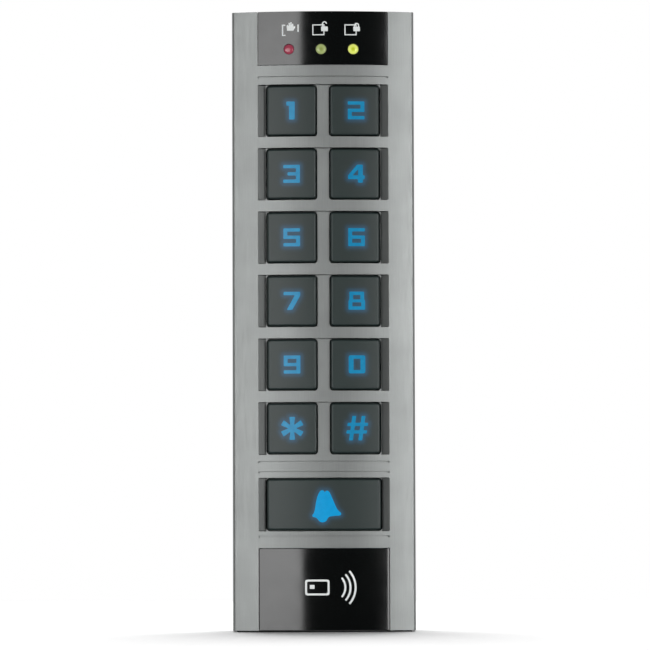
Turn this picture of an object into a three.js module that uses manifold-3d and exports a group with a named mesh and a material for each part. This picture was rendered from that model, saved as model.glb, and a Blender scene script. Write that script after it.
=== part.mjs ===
// A wall-mounted keypad access reader: a bowed silver cover with two glossy windows, thirteen backlit
// keys in sunken rows, and the electronics that hang behind them, on a black rear base.
// Millimetres, +Z up. The wall is the plane y = 0, the front faces -Y, and the origin is the centre
// of the back.
import * as THREE from "three";
import { mergeVertices } from "three/addons/utils/BufferGeometryUtils.js";
import Module from "manifold-3d";

const wasm = await Module();
wasm.setup();

// ---- Driving sizes -------------------------------------------------------------------------------

// Case
const width = 47;
const depth = 24;
const bowRise = 3; // how far the middle of the front stands out from its long edges
const sideDraft = 0.3;
const longEdgeRound = 0.6;
const sideWall = 1.8;
const endWall = 1.8;
const sunkDepth = 1.6; // how deep the key rows and the window seats are sunk
const sunkWall = 1.6; // the cover's wall behind them
const coverReveal = 0.6; // from the wall to the cover's rear edge
const soleThickness = 0.4;
const soleInset = 1.3; // the sole stops this far short of the cover's outside

// Keys
const keyRows = [
  ["1", "2"],
  ["3", "4"],
  ["5", "6"],
  ["7", "8"],
  ["9", "0"],
  ["star", "hash"],
];
const keyOpening = { width: 13.1, height: 13.4 };
const columnWeb = 3; // the cover's bar between the two columns
const rowWeb = 2.8; // and between the rows
const bellOpening = { width: 29.5, height: 13.6 };
const keyTravel = 1;
const keyGap = 0.35; // round a cap in its opening
const keyCorner = 0.7;
const keyShoulder = 0.35; // the rounded-off edge of a cap's face
const keyFaceLevel = 0.2; // how far the faces lie below the bars between the rows
const keyFlange = 0.9; // how far a cap's flange reaches past its opening
const flangeThickness = 1.2;
const stemRadius = 2;

// The front's layout from the top end down
const indicatorWindowHeight = 13.8;
const strips = { upper: 2.8, middle: 2.1, lower: 2.6 }; // between the windows and the key fields
const keyFieldMargin = { x: 2.05, z: 2.1 };
const bellFieldMargin = 1.6;
const readerWindowHeight = 21.3;
const rowSlope = 2; // the run of the sloping ends of a sunken row
const rowCorner = 0.3;
const groove = { width: 0.5, depth: 0.8 }; // above and below each group of keys

// Status lights
const lightPitch = 8.2;
const lightShift = -0.45; // the middle light stands this far off the centre line
const lightHeight = 4.1; // above the lower edge of the indicator window
const lightRadius = 1.25;
const lightNames = ["red", "green", "yellow"];

// Inside
const plateThickness = 2.4;
const wiringSpace = 8.6; // between the base plate and the board
const boardThickness = 1.6;
const matThickness = 1.2;
const domeHeight = 1.6;
const rimThickness = 1.4;
const rimHeight = 5.6;
const seal = { width: 1.4, height: 1.6 };
const soleWall = 2.6; // the base's lower end wall
const boardMargin = { side: 1.2, top: 3, bottom: 2.4 }; // from the cover's walls and the sole's
const bossRadius = 2.3;
const bossGap = 0.7; // from a boss to the cover's side wall
const bossUp = 1; // from the indicator window's lower edge up to the upper bosses
const bossDown = 8.3; // and from the reader window's upper edge down to the lower ones
const tipRoom = 0.6; // past the tip of the cover's screw, in its boss
const boardScrew = { shank: 1, head: 1.9, headHeight: 1.3, length: 6 };
const coverScrew = { shank: 1.25, head: 2.4, headHeight: 1.4, length: 5.8 };
const inlet = { x: -9, z: -28, hole: 5.5, bore: 3.6, flange: 7, flangeThickness: 0.9 };
const wallHole = { radius: 2.2, z: 60 };
const latch = { x: 12, width: 7, thickness: 0.8, reach: 1, y: -1.9 };

// Clearances
const slip = 0.1; // between faces that lie flat on each other
const fit = 0.2; // between pieces that slide into each other

// ---- What follows from them ----------------------------------------------------------------------

const columnPitch = keyOpening.width + columnWeb;
const rowPitch = keyOpening.height + rowWeb;
const halfWidth = width / 2;
const bowRadius = (halfWidth ** 2 + bowRise ** 2) / (2 * bowRise);
const bowAxis = bowRadius - depth;
const frontWall = sunkDepth + sunkWall;

const keyField = {
  width: columnPitch + keyOpening.width + 2 * keyFieldMargin.x,
  height: (keyRows.length - 1) * rowPitch + keyOpening.height + 2 * keyFieldMargin.z,
};
const bellField = { width: keyField.width, height: bellOpening.height + 2 * bellFieldMargin };
const fieldsAndStrips =
  strips.upper + keyField.height + strips.middle + bellField.height + strips.lower;
const height = indicatorWindowHeight + fieldsAndStrips + readerWindowHeight;
const top = height / 2;
const bottom = -height / 2;

keyField.top = top - indicatorWindowHeight - strips.upper;
bellField.top = keyField.top - keyField.height - strips.middle;
keyField.z = keyField.top - keyField.height / 2;
bellField.z = bellField.top - bellField.height / 2;
const readerWindowTop = bellField.top - bellField.height - strips.lower;
const lightZ = top - indicatorWindowHeight + lightHeight;

const innerHalf = halfWidth - sideWall;
const innerTop = top - endWall;
const coverEnd = bottom + soleThickness;
const baseHalf = innerHalf - fit;
const baseTop = innerTop - fit;

const plateFront = -plateThickness;
const boardBack = plateFront - wiringSpace;
const boardFront = boardBack - boardThickness;
const matFront = boardFront - slip - matThickness;
const domeTop = matFront - domeHeight;
const stemTip = domeTop - keyTravel - fit;
const boardHalf = innerHalf - boardMargin.side;
const boardTop = innerTop - boardMargin.top;
const boardBottom = bottom + soleWall + boardMargin.bottom;
const windowThickness = sunkDepth - slip;

const lowerScrewZ = bottom + soleWall + slip;
const lowerScrewSeat = bottom + coverScrew.headHeight + slip;
const lowerScrewY = boardFront - bossRadius - 4 * slip - coverScrew.shank / 2;
const lowerBossTop = lowerScrewSeat + coverScrew.length + tipRoom;

// The front surface and everything parallel to it: level is the depth below the front.
function frontY(x, level = 0) {
  return bowAxis - Math.sqrt((bowRadius - level) ** 2 - x ** 2);
}

// ---- Solids --------------------------------------------------------------------------------------

function solidOf(geometry) {
  const bare = new THREE.BufferGeometry();
  bare.setAttribute("position", geometry.getAttribute("position"));
  bare.setIndex(geometry.index);
  const merged = mergeVertices(bare, 1e-4);
  return new wasm.Manifold(
    new wasm.Mesh({
      numProp: 3,
      vertProperties: new Float32Array(merged.attributes.position.array),
      triVerts: new Uint32Array(merged.index.array),
    }),
  );
}

function geometryOf(solid) {
  const mesh = solid.getMesh();
  const geometry = new THREE.BufferGeometry();
  geometry.setAttribute("position", new THREE.BufferAttribute(mesh.vertProperties, mesh.numProp));
  geometry.setIndex(new THREE.BufferAttribute(mesh.triVerts, 1));
  const flat = geometry.toNonIndexed();
  flat.computeVertexNormals();
  return flat;
}

const join = (first, ...rest) => rest.reduce((sum, solid) => sum.add(solid), first);
const cut = (body, ...tools) => tools.reduce((left, tool) => left.subtract(tool), body);

function block(x, y, z) {
  const geometry = new THREE.BoxGeometry(x[1] - x[0], Math.abs(y[1] - y[0]), z[1] - z[0]);
  geometry.translate((x[0] + x[1]) / 2, (y[0] + y[1]) / 2, (z[0] + z[1]) / 2);
  return solidOf(geometry);
}

// A round rod or cone along Y: the first radius is at the back, the second at the front.
function rod(x, z, back, front, radius, frontRadius = radius, sides = 16) {
  const geometry = new THREE.CylinderGeometry(radius, frontRadius, back - front, sides);
  geometry.translate(x, (back + front) / 2, z);
  return solidOf(geometry);
}

// A round rod along Z.
function post(x, y, low, high, radius, sides = 16) {
  const geometry = new THREE.CylinderGeometry(radius, radius, high - low, sides);
  geometry.rotateX(Math.PI / 2);
  geometry.translate(x, y, (low + high) / 2);
  return solidOf(geometry);
}

function roundedRect(w, h, corner) {
  const r = Math.min(corner, 0.49 * w, 0.49 * h);
  const shape = new THREE.Shape();
  shape.absarc(w / 2 - r, h / 2 - r, r, 0, Math.PI / 2);
  shape.absarc(r - w / 2, h / 2 - r, r, Math.PI / 2, Math.PI);
  shape.absarc(r - w / 2, r - h / 2, r, Math.PI, Math.PI * 1.5);
  shape.absarc(w / 2 - r, r - h / 2, r, Math.PI * 1.5, Math.PI * 2);
  return shape;
}

// A flat plate of that outline, parallel to the wall, centred on x and z.
function plate(w, h, r, x, z, back, front) {
  const geometry = new THREE.ExtrudeGeometry(roundedRect(w, h, r), {
    depth: back - front,
    bevelEnabled: false,
    curveSegments: 3,
  });
  geometry.rotateX(Math.PI / 2);
  geometry.translate(x, back, z);
  return solidOf(geometry);
}

// A rectangular ring, parallel to the wall.
function frame(w, h, r, thickness, x, z, back, front) {
  const inside = plate(w - 2 * thickness, h - 2 * thickness, r, x, z, back + 1, front - 1);
  return cut(plate(w, h, r + thickness, x, z, back, front), inside);
}

// A length of the case's cross-section: flat sides, and a front parallel to the bow.
function section(half, level, rear, low, high, round = 0, draft = 0) {
  const side = half - draft;
  const bowEnd = side - round;
  const steps = 16;
  const shape = new THREE.Shape();
  shape.moveTo(-half, rear);
  shape.lineTo(-side, frontY(side, level) + round);
  shape.quadraticCurveTo(-side, frontY(side, level), -bowEnd, frontY(bowEnd, level));
  for (let i = 1; i <= steps; i++) {
    const x = bowEnd * ((2 * i) / steps - 1);
    shape.lineTo(x, frontY(x, level));
  }
  shape.quadraticCurveTo(side, frontY(side, level), side, frontY(side, level) + round);
  shape.lineTo(half, rear);
  const geometry = new THREE.ExtrudeGeometry(shape, {
    depth: high - low,
    bevelEnabled: false,
    curveSegments: 4,
  });
  geometry.translate(0, 0, low);
  return solidOf(geometry);
}

// A block whose front and back follow the bow. Its layers run from front to back, each with its own
// width, height and level, and its corners are rounded.
function bowedBlock(x, z, corner, layers, spans = 4) {
  const cornerSteps = 2;
  const position = [];
  const index = [];
  const widest = Math.max(...layers.map((layer) => layer.width));
  let stations = 0;
  for (const layer of layers) {
    const r = Math.max(corner - (widest - layer.width) / 2, 0.1);
    const left = [];
    for (let i = 0; i <= cornerSteps; i++) {
      const turn = (i / cornerSteps) * (Math.PI / 2);
      left.push({
        x: -layer.width / 2 + r * (1 - Math.cos(turn)),
        half: layer.height / 2 - r * (1 - Math.sin(turn)),
      });
    }
    const flat = layer.width / 2 - r;
    const middle = [];
    for (let i = 1; i < spans; i++) {
      middle.push({ x: flat * ((2 * i) / spans - 1), half: layer.height / 2 });
    }
    const right = left.map((p) => ({ x: -p.x, half: p.half })).reverse();
    const line = [...left, ...middle, ...right];
    stations = line.length;
    for (const side of [-1, 1]) {
      for (const p of line) position.push(x + p.x, frontY(x + p.x, layer.level), z + side * p.half);
    }
  }
  const quad = (a, b, c, d) => index.push(a, b, c, a, c, d);
  const low = (layer, i) => layer * 2 * stations + i;
  const high = (layer, i) => low(layer, i) + stations;
  const last = stations - 1;
  const back = layers.length - 1;
  for (let i = 0; i < last; i++) {
    quad(low(0, i), low(0, i + 1), high(0, i + 1), high(0, i));
    quad(low(back, i), high(back, i), high(back, i + 1), low(back, i + 1));
    for (let k = 0; k < back; k++) {
      quad(low(k, i), low(k + 1, i), low(k + 1, i + 1), low(k, i + 1));
      quad(high(k, i), high(k, i + 1), high(k + 1, i + 1), high(k + 1, i));
    }
  }
  for (let k = 0; k < back; k++) {
    quad(low(k, 0), high(k, 0), high(k + 1, 0), low(k + 1, 0));
    quad(low(k, last), low(k + 1, last), high(k + 1, last), high(k, last));
  }
  const geometry = new THREE.BufferGeometry();
  geometry.setAttribute("position", new THREE.Float32BufferAttribute(position, 3));
  geometry.setIndex(index);
  return solidOf(geometry);
}

const layer = (w, h, level) => ({ width: w, height: h, level });

// ---- Finishes ------------------------------------------------------------------------------------

const finishes = {
  silver: { color: 0xa3a6a5, roughness: 0.42, metalness: 0.75 },
  gloss: { color: 0x0a1011, roughness: 0.08, metalness: 0 },
  base: { color: 0x17191a, roughness: 0.6, metalness: 0 },
  key: { color: 0x3c4648, roughness: 0.5, metalness: 0 },
  rubber: { color: 0x2a2c2d, roughness: 0.85, metalness: 0 },
  mat: { color: 0xd8dcdc, roughness: 0.7, metalness: 0 },
  board: { color: 0x1f5a34, roughness: 0.5, metalness: 0 },
  chip: { color: 0x202224, roughness: 0.6, metalness: 0 },
  copper: { color: 0xb06a3c, roughness: 0.35, metalness: 1 },
  nylon: { color: 0xe6e3da, roughness: 0.6, metalness: 0 },
  steel: { color: 0xb9bcbe, roughness: 0.3, metalness: 1 },
  can: { color: 0xc4c8ca, roughness: 0.35, metalness: 0.9 },
  terminal: { color: 0x2f7d4a, roughness: 0.55, metalness: 0 },
  red: { color: 0xa02a40, roughness: 0.3, metalness: 0 },
  green: { color: 0xa9b47c, roughness: 0.3, metalness: 0 },
  yellow: { color: 0xdde26a, roughness: 0.3, metalness: 0 },
  blue: { color: 0x2a86c0, roughness: 0.3, metalness: 0 },
};

const reader = new THREE.Group();

function add(name, solid, finish) {
  const mesh = new THREE.Mesh(geometryOf(solid), new THREE.MeshStandardMaterial(finishes[finish]));
  mesh.name = name;
  reader.add(mesh);
}

// ---- Places shared by several pieces -------------------------------------------------------------

const keys = [{ name: "bell", x: 0, z: bellField.z, opening: bellOpening }];
keyRows.forEach((row, r) => {
  row.forEach((name, c) => {
    keys.push({
      name,
      x: (c - (row.length - 1) / 2) * columnPitch,
      z: keyField.z + ((keyRows.length - 1) / 2 - r) * rowPitch,
      opening: keyOpening,
    });
  });
});
const rowZs = [...keyRows.keys()].map((r) => keyField.z + ((keyRows.length - 1) / 2 - r) * rowPitch);

const lights = lightNames.map((name, i) => ({
  name,
  x: lightShift + (i - (lightNames.length - 1) / 2) * lightPitch,
}));

const bossX = innerHalf - bossRadius - bossGap;
const bossZs = [top - indicatorWindowHeight + bossUp, readerWindowTop - bossDown];
const boardScrews = bossZs.flatMap((z) => [-bossX, bossX].map((x) => ({ x, z })));

// ---- Rear base -----------------------------------------------------------------------------------

const sealLow = bottom + soleWall + slip;
const sealHigh = baseTop - slip;
const rimInset = seal.width + 2 * slip;

function rearBase() {
  const middle = (sealLow + sealHigh) / 2;
  const rimWidth = 2 * (baseHalf - rimInset);
  const rimSpan = sealHigh - sealLow - 2 * rimInset;
  const span = baseTop - bottom;
  const body = join(
    plate(2 * baseHalf, span, 1, 0, bottom + span / 2, 0, plateFront),
    frame(rimWidth, rimSpan, 1, rimThickness, 0, middle, plateFront + 0.5, plateFront - rimHeight),
    section(baseHalf, frontWall + 2 * fit, -0.5, bottom, bottom + soleWall),
    section(halfWidth - soleInset, soleInset + 0.5, -coverReveal, bottom, coverEnd - slip),
    ...[-latch.x, latch.x].map((x) =>
      block(
        [x - latch.width / 2, x + latch.width / 2],
        [latch.y - latch.thickness / 2, latch.y + latch.thickness / 2],
        [baseTop - 1, baseTop + latch.reach],
      ),
    ),
  );
  const seatDepth = inlet.flangeThickness + slip;
  return cut(
    body,
    rod(inlet.x, inlet.z, 1, plateFront - 1, inlet.hole),
    rod(inlet.x, inlet.z, 1, -seatDepth, inlet.flange + fit),
    ...[-1, 1].map((side) => rod(0, side * wallHole.z, 1, plateFront - 1, wallHole.radius)),
    post(0, lowerScrewY, bottom - 1, bottom + soleWall + 1, coverScrew.shank + fit),
    post(0, lowerScrewY, bottom - 1, lowerScrewSeat + slip, coverScrew.head + fit),
  );
}
add("rear_base", rearBase(), "base");

// The seal runs round the base's rim and is squeezed against the inside of the cover.
add(
  "case_seal",
  frame(
    2 * (baseHalf - slip),
    sealHigh - sealLow,
    0.6,
    seal.width,
    0,
    (sealLow + sealHigh) / 2,
    plateFront - slip,
    plateFront - slip - seal.height,
  ),
  "rubber",
);

// The grommet's neck lines the cable inlet, and its two flanges hold it in the plate.
function grommet() {
  const neck = inlet.hole - fit;
  const inner = plateFront - slip;
  const profile = [
    [inlet.bore, -slip],
    [inlet.flange, -slip],
    [inlet.flange, -inlet.flangeThickness],
    [neck, -inlet.flangeThickness],
    [neck, inner],
    [inlet.flange, inner],
    [inlet.flange, inner - inlet.flangeThickness],
    [inlet.bore, inner - inlet.flangeThickness - 1],
    [inlet.bore, -slip],
  ];
  const geometry = new THREE.LatheGeometry(profile.map(([r, y]) => new THREE.Vector2(r, y)).reverse(), 20);
  geometry.translate(inlet.x, 0, inlet.z);
  return solidOf(geometry);
}
add("cable_grommet", grommet(), "rubber");

// ---- Front cover ---------------------------------------------------------------------------------

// A sunken row, as high as its keys' openings. Its ends slope in to a floor that follows the bow.
function sunkenRow(z, openingHeight) {
  const proud = 0.4;
  const flare = (2 * rowSlope * proud) / sunkDepth;
  return bowedBlock(
    0,
    z,
    rowCorner,
    [
      layer(keyField.width + flare, openingHeight, -proud),
      layer(keyField.width - 2 * rowSlope, openingHeight, sunkDepth),
    ],
    12,
  );
}

// A fine groove across the front.
function fineGroove(z) {
  const { width: w, depth: sunk } = groove;
  return bowedBlock(0, z, 0.1, [layer(keyField.width, w, -1), layer(keyField.width, w, sunk)], 12);
}

// A window's seat, open at the case's end.
function windowSeat(low, high) {
  const span = high - low;
  return bowedBlock(
    0,
    (low + high) / 2,
    0.3,
    [layer(keyField.width, span, -1), layer(keyField.width, span, sunkDepth)],
    12,
  );
}

function frontCover() {
  const shell = cut(
    section(halfWidth, 0, -coverReveal, coverEnd, top, longEdgeRound, sideDraft),
    section(innerHalf, frontWall, 1, bottom - 1, innerTop),
  );
  const bossFront = frontWall - 1;
  const bosses = boardScrews.map(({ x, z }) =>
    rod(x, z, boardFront - slip, frontY(x, bossFront), bossRadius),
  );
  const lowerBoss = join(
    post(0, lowerScrewY, lowerScrewZ, lowerBossTop, bossRadius),
    block([-bossRadius, bossRadius], [lowerScrewY, frontY(0, bossFront)], [lowerScrewZ, lowerBossTop]),
  );
  const body = join(shell, ...bosses, lowerBoss);
  return cut(
    body,
    ...rowZs.map((z) => sunkenRow(z, keyOpening.height)),
    sunkenRow(bellField.z, bellOpening.height),
    ...[keyField, bellField].flatMap((field) => [
      fineGroove(field.top - groove.width / 2),
      fineGroove(field.top - field.height + groove.width / 2),
    ]),
    windowSeat(top - indicatorWindowHeight, top + 2),
    windowSeat(bottom - 2, readerWindowTop),
    ...keys.map(({ x, z, opening }) =>
      bowedBlock(x, z, keyCorner + keyGap, [
        layer(opening.width, opening.height, 0),
        layer(opening.width, opening.height, frontWall + 1),
      ]),
    ),
    ...lights.map(({ x }) => rod(x, lightZ, boardFront - 2, -depth, lightRadius + slip)),
    ...boardScrews.map(({ x, z }) =>
      rod(x, z, boardFront + 1, boardFront - boardScrew.length + 0.5, boardScrew.shank + slip, undefined, 12),
    ),
    post(0, lowerScrewY, lowerScrewZ - 1, lowerBossTop - 0.4, coverScrew.shank + slip, 12),
    ...[-latch.x, latch.x].map((x) =>
      block(
        [x - latch.width / 2 - fit, x + latch.width / 2 + fit],
        [latch.y - latch.thickness / 2 - slip, latch.y + latch.thickness / 2 + slip],
        [innerTop - 1, baseTop + latch.reach + fit],
      ),
    ),
  );
}
add("front_cover", frontCover(), "silver");

// ---- Windows and status lights -------------------------------------------------------------------

function windowPane(low, high) {
  const w = keyField.width - 2 * slip;
  return bowedBlock(
    0,
    (low + high) / 2,
    0.2,
    [layer(w, high - low, 0), layer(w, high - low, windowThickness)],
    12,
  );
}

add(
  "indicator_window",
  cut(
    windowPane(top - indicatorWindowHeight + slip, top),
    ...lights.map(({ x }) => rod(x, lightZ, -depth / 2, -depth - 1, lightRadius + slip)),
  ),
  "gloss",
);
add("reader_window", windowPane(coverEnd, readerWindowTop - slip), "gloss");

const ledSize = { width: 3.2, height: 2.8, thickness: 1.1, lens: 0.9 };
const collar = { reach: 0.8, thickness: 1 }; // on a light pipe, behind the cover
function led(x, z) {
  const back = boardFront - slip;
  const front = back - ledSize.thickness;
  const lens = rod(x, z, back - ledSize.thickness / 2, front, ledSize.lens, ledSize.lens, 8);
  return join(
    block(
      [x - ledSize.width / 2, x + ledSize.width / 2],
      [back - ledSize.thickness * 0.8, back],
      [z - ledSize.height / 2, z + ledSize.height / 2],
    ),
    lens,
  );
}

for (const { name, x } of lights) {
  const ledFront = boardFront - slip - ledSize.thickness;
  const collarFront = frontY(x, frontWall) + 3 * slip;
  add(
    "light_pipe_" + name,
    join(
      rod(x, lightZ, ledFront - fit, frontY(x), lightRadius),
      rod(x, lightZ, collarFront + collar.thickness, collarFront, lightRadius + collar.reach),
    ),
    name,
  );
  add("status_led_" + name, led(x, lightZ), name);
}

// ---- Keys ----------------------------------------------------------------------------------------

function keyCap({ x, z, opening }) {
  const w = opening.width - 2 * keyGap;
  const h = opening.height - 2 * keyGap;
  const flangeFront = frontWall + 3 * slip;
  const flangeBack = flangeFront + flangeThickness;
  const flangeWidth = opening.width + 2 * keyFlange;
  const flangeHeight = opening.height + 2 * keyFlange;
  const spans = Math.round(opening.width / 3.3);
  const cap = bowedBlock(
    x,
    z,
    keyCorner + keyFlange + keyGap,
    [
      layer(w - 2 * keyShoulder, h - 2 * keyShoulder, keyFaceLevel),
      layer(w, h, keyFaceLevel + keyShoulder),
      layer(w, h, flangeFront),
      layer(flangeWidth, flangeHeight, flangeFront),
      layer(flangeWidth, flangeHeight, flangeBack),
    ],
    spans,
  );
  return join(cap, rod(x, z, stemTip, frontY(x, flangeFront + 0.5), stemRadius, stemRadius, 12));
}
for (const key of keys) add("key_" + key.name, keyCap(key), "key");

// The silicone mat lies on the board, with one dome behind each key and a window over each lamp.
const dome = { foot: 1.6, crown: 0.4 }; // how far its foot and its crown reach past the stem
const bellLampUp = 4.6; // above the bell key's dome
const lampZs = [...rowZs, bellField.z + bellLampUp];
const matLow = bellField.z - bellField.height / 2;
const matHigh = keyField.top;

function keypadMat() {
  const half = bossX - bossRadius - 2 * slip;
  const back = boardFront - slip;
  const sheet = plate(2 * half, matHigh - matLow, 1.5, 0, (matLow + matHigh) / 2, back, matFront);
  const domes = keys.map(({ x, z }) =>
    rod(x, z, matFront + 0.5, domeTop, stemRadius + dome.foot, stemRadius + dome.crown, 12),
  );
  const dimples = keys.map(({ x, z }) => rod(x, z, back + 1, matFront - 0.4, stemRadius, 1.4, 8));
  const lampWindows = lampZs.map((z) =>
    block(
      [-ledSize.width / 2 - 3 * slip, ledSize.width / 2 + 3 * slip],
      [matFront - 1, back + 1],
      [z - ledSize.height / 2 - 3 * slip, z + ledSize.height / 2 + 3 * slip],
    ),
  );
  return cut(join(sheet, ...domes), ...dimples, ...lampWindows);
}
add("keypad_mat", keypadMat(), "mat");
lampZs.forEach((z, i) => add("backlight_led_" + (i + 1), led(0, z), "blue"));

// ---- Board and what it carries -------------------------------------------------------------------

add(
  "main_board",
  cut(
    plate(2 * boardHalf, boardTop - boardBottom, 1, 0, (boardTop + boardBottom) / 2, boardBack, boardFront),
    ...boardScrews.map(({ x, z }) => rod(x, z, boardBack + 1, boardFront - 1, boardScrew.shank + fit)),
  ),
  "board",
);

// A pan-head screw with a cross recess, along +Y from its head's seat. The tip is at -length.
function screw({ shank, head, headHeight, length }) {
  const slot = 0.3 * head;
  const half = 0.2 * slot + 0.15;
  return cut(
    join(
      rod(0, 0, headHeight, 0, head * 0.85, head),
      rod(0, 0, 0.5, -length + shank, shank, shank, 8),
      rod(0, 0, -length + shank, -length, shank, shank * 0.4, 8),
    ),
    block([-2 * slot, 2 * slot], [headHeight - 0.6, headHeight + 1], [-half, half]),
    block([-half, half], [headHeight - 0.6, headHeight + 1], [-2 * slot, 2 * slot]),
  );
}

boardScrews.forEach(({ x, z }, i) => {
  add("board_screw_" + (i + 1), screw(boardScrew).translate([x, boardBack + slip, z]), "steel");
});
add(
  "cover_screw",
  screw(coverScrew)
    .rotate([-90, 0, 0])
    .translate([0, lowerScrewY, lowerScrewSeat]),
  "steel",
);

const onBack = boardBack + slip; // the plane that parts on the back of the board stand on

// A flat package with a row of leads down each side.
function chipPackage(x, z, w, h, thickness, leads) {
  const pitch = (h - 1) / leads;
  const legs = [];
  for (let i = 0; i < leads; i++) {
    const at = z - h / 2 + 0.5 + (i + 0.5) * pitch;
    legs.push(
      block([x - w / 2 - 1, x + w / 2 + 1], [onBack, onBack + 0.4], [at - pitch / 4, at + pitch / 4]),
    );
  }
  const body = block([x - w / 2, x + w / 2], [onBack + 0.2, onBack + thickness], [z - h / 2, z + h / 2]);
  return join(body, ...legs);
}
add("microcontroller", chipPackage(-8, 18, 8, 10, 1.6, 8), "chip");
add("reader_chip", chipPackage(0, -56, 6, 9, 1.5, 7), "chip");
add("voltage_regulator", chipPackage(8, 46, 6, 6.5, 2.3, 3), "chip");

const buzzer = { x: -7, z: 40, radius: 6, height: 5.5 };
add(
  "buzzer",
  cut(
    rod(buzzer.x, buzzer.z, onBack + buzzer.height, onBack, buzzer.radius, buzzer.radius, 24),
    rod(buzzer.x, buzzer.z, onBack + buzzer.height + 1, onBack + buzzer.height - 2, 1.1),
  ),
  "chip",
);

const capacitor = { x: 9, z: 30, radius: 3.1, height: 5.8 };
add(
  "supply_capacitor",
  join(
    rod(capacitor.x, capacitor.z, onBack + capacitor.height, onBack + 0.5, capacitor.radius),
    block(
      [capacitor.x - 3.3, capacitor.x + 3.3],
      [onBack, onBack + 0.8],
      [capacitor.z - 3.3, capacitor.z + 3.3],
    ),
  ),
  "can",
);

// The terminal block takes the wires from the side and clamps each with a screw from behind.
const terminals = { x: 11, z: -24, width: 8, pitch: 5, count: 6, height: wiringSpace - 1.4 };
function terminalBlock() {
  const { x, z, width: w, pitch, count, height: tall } = terminals;
  const span = pitch * count;
  const tools = [];
  for (let i = 0; i < count; i++) {
    const at = z - span / 2 + (i + 0.5) * pitch;
    tools.push(rod(x + 1, at, onBack + tall + 1, onBack + 3, 1.5, 1.5, 10));
    tools.push(block([x - w / 2 - 1, x], [onBack + 1.2, onBack + 3.8], [at - 1.4, at + 1.4]));
  }
  const housing = block([x - w / 2, x + w / 2], [onBack, onBack + tall], [z - span / 2, z + span / 2]);
  return cut(housing, ...tools);
}
add("terminal_block", terminalBlock(), "terminal");

// The tamper switch stands on the board, and its plunger is held in by the base plate.
const tamper = { x: -12, z: -50, half: 3.1, height: 3.6, plunger: 1.6, overTravel: 0.8 };
const tamperBore = onBack + 0.8;
add(
  "tamper_switch",
  cut(
    block(
      [tamper.x - tamper.half, tamper.x + tamper.half],
      [onBack, onBack + tamper.height],
      [tamper.z - tamper.half, tamper.z + tamper.half],
    ),
    rod(tamper.x, tamper.z, onBack + tamper.height + 1, tamperBore, tamper.plunger + fit),
  ),
  "chip",
);
add(
  "tamper_plunger",
  rod(tamper.x, tamper.z, plateFront - fit, tamperBore + tamper.overTravel + fit, tamper.plunger),
  "nylon",
);

// ---- Reader antenna ------------------------------------------------------------------------------

const former = { width: 31, corner: 3, cheek: 0.6, groove: 2, winding: 2, core: 1.4 };
const formerLow = lowerBossTop + fit;
const formerHigh = readerWindowTop - fit;
const formerZ = (formerLow + formerHigh) / 2;

function racetrack(outset, thickness, back, front) {
  const w = former.width - 2 * outset;
  const h = formerHigh - formerLow - 2 * outset;
  return frame(w, h, former.corner - outset * 0.6, thickness, 0, formerZ, back, front);
}

const formerBack = boardFront - slip;
const grooveBack = formerBack - former.cheek;
const grooveFront = grooveBack - former.groove;
const cheekWidth = former.winding + former.core;
add(
  "coil_former",
  join(
    racetrack(0, cheekWidth, formerBack, grooveBack),
    racetrack(former.winding, former.core, formerBack, grooveFront - former.cheek),
    racetrack(0, cheekWidth, grooveFront, grooveFront - former.cheek),
  ),
  "nylon",
);
add(
  "antenna_coil",
  racetrack(fit, former.winding - 2 * fit, grooveBack - slip, grooveFront + slip),
  "copper",
);

export default reader;
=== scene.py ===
import math

import bmesh
import bpy
from mathutils import Matrix, Quaternion, Vector
from mathutils.geometry import tessellate_polygon


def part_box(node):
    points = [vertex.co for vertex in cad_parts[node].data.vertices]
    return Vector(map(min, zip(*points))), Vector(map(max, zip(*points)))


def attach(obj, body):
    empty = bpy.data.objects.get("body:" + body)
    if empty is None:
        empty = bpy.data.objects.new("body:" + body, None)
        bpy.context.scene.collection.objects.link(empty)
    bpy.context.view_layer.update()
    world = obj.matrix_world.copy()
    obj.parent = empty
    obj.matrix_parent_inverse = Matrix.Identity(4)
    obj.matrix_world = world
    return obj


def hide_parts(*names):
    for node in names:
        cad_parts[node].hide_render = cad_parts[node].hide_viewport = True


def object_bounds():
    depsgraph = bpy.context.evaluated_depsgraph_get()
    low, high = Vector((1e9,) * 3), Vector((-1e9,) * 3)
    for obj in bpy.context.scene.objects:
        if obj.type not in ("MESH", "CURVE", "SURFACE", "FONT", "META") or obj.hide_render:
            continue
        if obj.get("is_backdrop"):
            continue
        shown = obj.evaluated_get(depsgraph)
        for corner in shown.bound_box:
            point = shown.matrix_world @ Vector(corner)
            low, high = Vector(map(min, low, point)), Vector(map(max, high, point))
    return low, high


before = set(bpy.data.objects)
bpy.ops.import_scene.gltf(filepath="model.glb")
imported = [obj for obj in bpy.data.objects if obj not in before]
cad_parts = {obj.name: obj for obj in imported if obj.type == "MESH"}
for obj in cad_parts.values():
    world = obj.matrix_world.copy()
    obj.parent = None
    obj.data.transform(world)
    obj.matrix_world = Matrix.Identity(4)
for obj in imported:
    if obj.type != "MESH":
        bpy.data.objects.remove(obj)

case_low, case_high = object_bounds()
scene = bpy.context.scene
scene.view_settings.view_transform = "Standard"


# ---- Camera ---------------------------------------------------------------------------------------
# A long lens just above the floor, square on to the keys, tipped up and rolled very slightly, as for a
# catalogue picture. It frames the reader with a narrow margin above and below it.
MM = 0.001
frame_width = 164.8 * MM  # what the picture spans at the front of the case
camera_distance = 0.98  # from the front of the case
camera_height = 24 * MM  # above the floor
camera_roll = 0.18  # degrees
aim = Vector((0.35 * MM, case_low.y, (case_low.z + case_high.z) / 2 - 1.2 * MM))

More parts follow.
